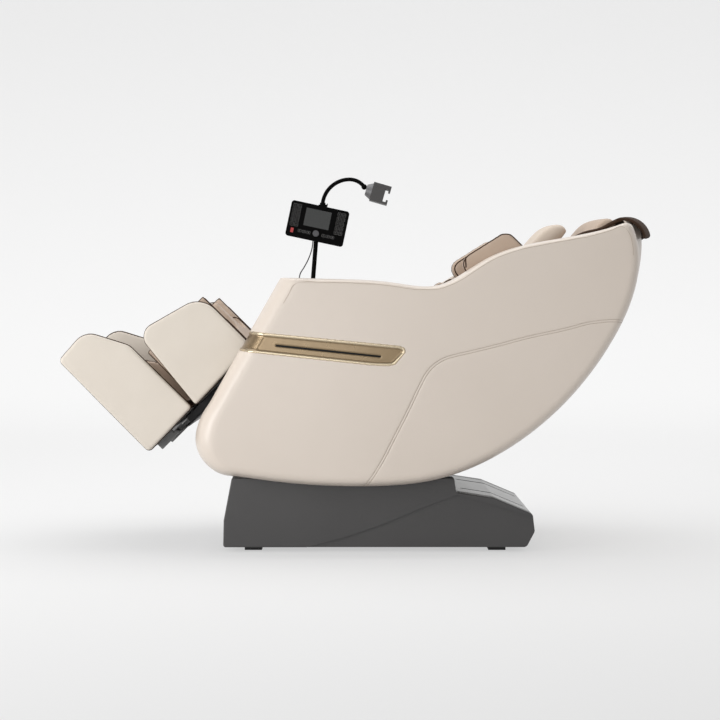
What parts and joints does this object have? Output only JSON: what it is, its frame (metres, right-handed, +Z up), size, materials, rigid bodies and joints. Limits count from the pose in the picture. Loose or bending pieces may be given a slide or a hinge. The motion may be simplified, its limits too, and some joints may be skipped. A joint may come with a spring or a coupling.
{
  "type": "massage chair",
  "caption": "Reclining massage chair with two tall side shells rocking on a low base, raised leg and foot unit, and a control tablet on an arm pole.",
  "frame": {"origin": "on the floor under the middle of the chair's length and width", "axes": "+Z up, -X the way the sitter faces, -Y the sitter's left"},
  "size_m": [1.8939, 0.78, 1.2376],
  "materials": {
    "black_steel": "satin",
    "bright_steel": "satin",
    "base_plastic": "fine grain",
    "deck_gloss": "gloss",
    "foot_rubber": "matt",
    "shell_gloss": "gloss lacquer",
    "champagne_trim": "metallic lacquer",
    "black_gloss": "gloss",
    "seat_board": "plain board",
    "tan_leather": "soft grain",
    "brown_leather": "soft grain",
    "cream_leather": "soft grain",
    "roller_rubber": "matt",
    "screen_glass": "gloss",
    "key_red": "gloss",
    "key_grey": "gloss",
    "ring_grey": "satin",
    "lead_black": "satin"
  },
  "bodies": {
    "base": {"base_frame": "black_steel", "rocking_pins": "bright_steel", "base_side_cover_left": "base_plastic", "base_side_cover_right": "base_plastic", "base_front_cover": "base_plastic", "rear_cover": "deck_gloss", "mains_inlet": "base_plastic", "rubber_feet": "foot_rubber", "control_box": "black_steel", "actuator_bracket": "black_steel"},
    "body": {"side_shell_left": "shell_gloss", "side_shell_right": "shell_gloss", "gold_trim_left": "champagne_trim", "gold_trim_right": "champagne_trim", "trim_line_left": "black_gloss", "trim_line_right": "black_gloss", "seat_frame": "black_steel", "seat_pan": "seat_board", "seat_cushion": "tan_leather", "back_cushion": "tan_leather", "head_pad": "tan_leather", "shoulder_wing_left": "tan_leather", "shoulder_wing_right": "tan_leather", "arm_pad_left": "tan_leather", "arm_pad_right": "tan_leather", "back_shell": "shell_gloss", "hood_lip": "brown_leather", "guide_rails": "bright_steel", "tablet_pole": "black_steel", "tablet_lead": "lead_black", "lead_gland": "lead_black"},
    "pillow": {"head_pillow": "cream_leather"},
    "legrest": {"calf_panel_left": "cream_leather", "calf_panel_right": "cream_leather", "calf_pad": "tan_leather", "legrest_frame": "black_steel", "legrest_back_cover": "base_plastic"},
    "footrest": {"foot_panel_left": "cream_leather", "foot_panel_right": "cream_leather", "foot_pad": "tan_leather", "footrest_frame": "bright_steel", "sole_plate": "base_plastic"},
    "left_foot_roller": {"foot_roller_left": "roller_rubber"},
    "right_foot_roller": {"foot_roller_right": "roller_rubber"},
    "carriage": {"massage_carriage": "black_steel"},
    "kneader": {"kneading_shaft": "roller_rubber"},
    "actuator_housing": {"actuator_tube": "black_steel"},
    "actuator_ram": {"actuator_rod": "bright_steel"},
    "tablet_bracket": {"swivel_bracket": "black_gloss"},
    "tablet": {"tablet_case": "black_gloss", "tablet_screen": "screen_glass", "tablet_hinge": "black_gloss", "neck_clip": "black_gloss"},
    "power_key": {"power_button": "key_red"},
    "pad_key": {"navigation_pad": "key_grey"},
    "phone_neck": {"phone_gooseneck": "black_gloss"},
    "phone_holder": {"phone_clamp": "black_gloss", "clamp_ring": "ring_grey"},
    "phone_jaw": {"clamp_jaw": "black_gloss"}
  },
  "joints": [
    {"name": "recline", "type": "hinge", "parent": "base", "child": "body", "pos_m": [0, 0, 0.3], "axis": [0, 1, 0], "range_deg": [-20, 8]},
    {"name": "pillow_flap", "type": "hinge", "parent": "body", "child": "pillow", "pos_m": [0.66348, 0, 1.02595], "axis": [0, 1, 0], "range_deg": [0, 100]},
    {"name": "legrest_lift", "type": "hinge", "parent": "body", "child": "legrest", "pos_m": [-0.365, 0, 0.535], "axis": [0, 1, 0], "range_deg": [-25, 45]},
    {"name": "footrest_slide", "type": "slide", "parent": "legrest", "child": "footrest", "axis": [-0.7071, 0, -0.7071], "range_m": [0, 0.15]},
    {"name": "left_foot_roller_spin", "type": "hinge", "parent": "footrest", "child": "left_foot_roller", "pos_m": [-0.76027, 0, 0.4452], "axis": [0, 1, 0], "continuous": true},
    {"name": "right_foot_roller_spin", "type": "hinge", "parent": "footrest", "child": "right_foot_roller", "pos_m": [-0.76027, 0, 0.4452], "axis": [0, 1, 0], "continuous": true},
    {"name": "carriage_travel", "type": "slide", "parent": "body", "child": "carriage", "axis": [0.7314, 0, 0.682], "range_m": [-0.15, 0.33]},
    {"name": "kneading_spin", "type": "hinge", "parent": "carriage", "child": "kneader", "pos_m": [0.45337, 0, 0.66044], "axis": [0, 1, 0], "continuous": true},
    {"name": "actuator_swing", "type": "hinge", "parent": "base", "child": "actuator_housing", "pos_m": [0.28, 0, 0.062], "axis": [0, 1, 0], "range_deg": [-5.5, 2.4]},
    {"name": "actuator_stroke", "type": "slide", "parent": "actuator_housing", "child": "actuator_ram", "axis": [-0.0628, 0, 0.998], "range_m": [-0.038, 0.092]},
    {"name": "tablet_swivel", "type": "hinge", "parent": "body", "child": "tablet_bracket", "pos_m": [-0.16, 0.341, 1.04], "axis": [0, 0, 1], "range_deg": [-75, 75], "deforming": ["tablet_lead"]},
    {"name": "tablet_tilt", "type": "hinge", "parent": "tablet_bracket", "child": "tablet", "pos_m": [-0.15209, 0.327, 1.07417], "axis": [0.9781, 0, -0.2079], "range_deg": [-35, 8]},
    {"name": "power_press", "type": "slide", "parent": "tablet", "child": "power_key", "axis": [0, 1, 0], "range_m": [0, 0.001], "stiffness_N_per_m": 600},
    {"name": "pad_press", "type": "slide", "parent": "tablet", "child": "pad_key", "axis": [0, 1, 0], "range_m": [0, 0.001], "stiffness_N_per_m": 600},
    {"name": "phone_neck_turn", "type": "hinge", "parent": "tablet", "child": "phone_neck", "pos_m": [-0.137, 0.305, 1.148], "axis": [0, 0, 1], "range_deg": [-60, 60]},
    {"name": "phone_holder_tilt", "type": "hinge", "parent": "phone_neck", "child": "phone_holder", "pos_m": [0.00984, 0.305, 1.20426], "axis": [0, 1, 0], "range_deg": [-25, 25]},
    {"name": "phone_jaw_slide", "type": "slide", "parent": "phone_holder", "child": "phone_jaw", "axis": [0.2756, 0, 0.9613], "range_m": [0, 0.025], "stiffness_N_per_m": 150, "springref_m": -0.02}
  ],
  "couplings": [
    {"joint": "actuator_swing", "follows": "recline", "ratio": 0.265},
    {"joint": "actuator_stroke", "follows": "recline", "m_per_rad": -0.255}
  ]
}
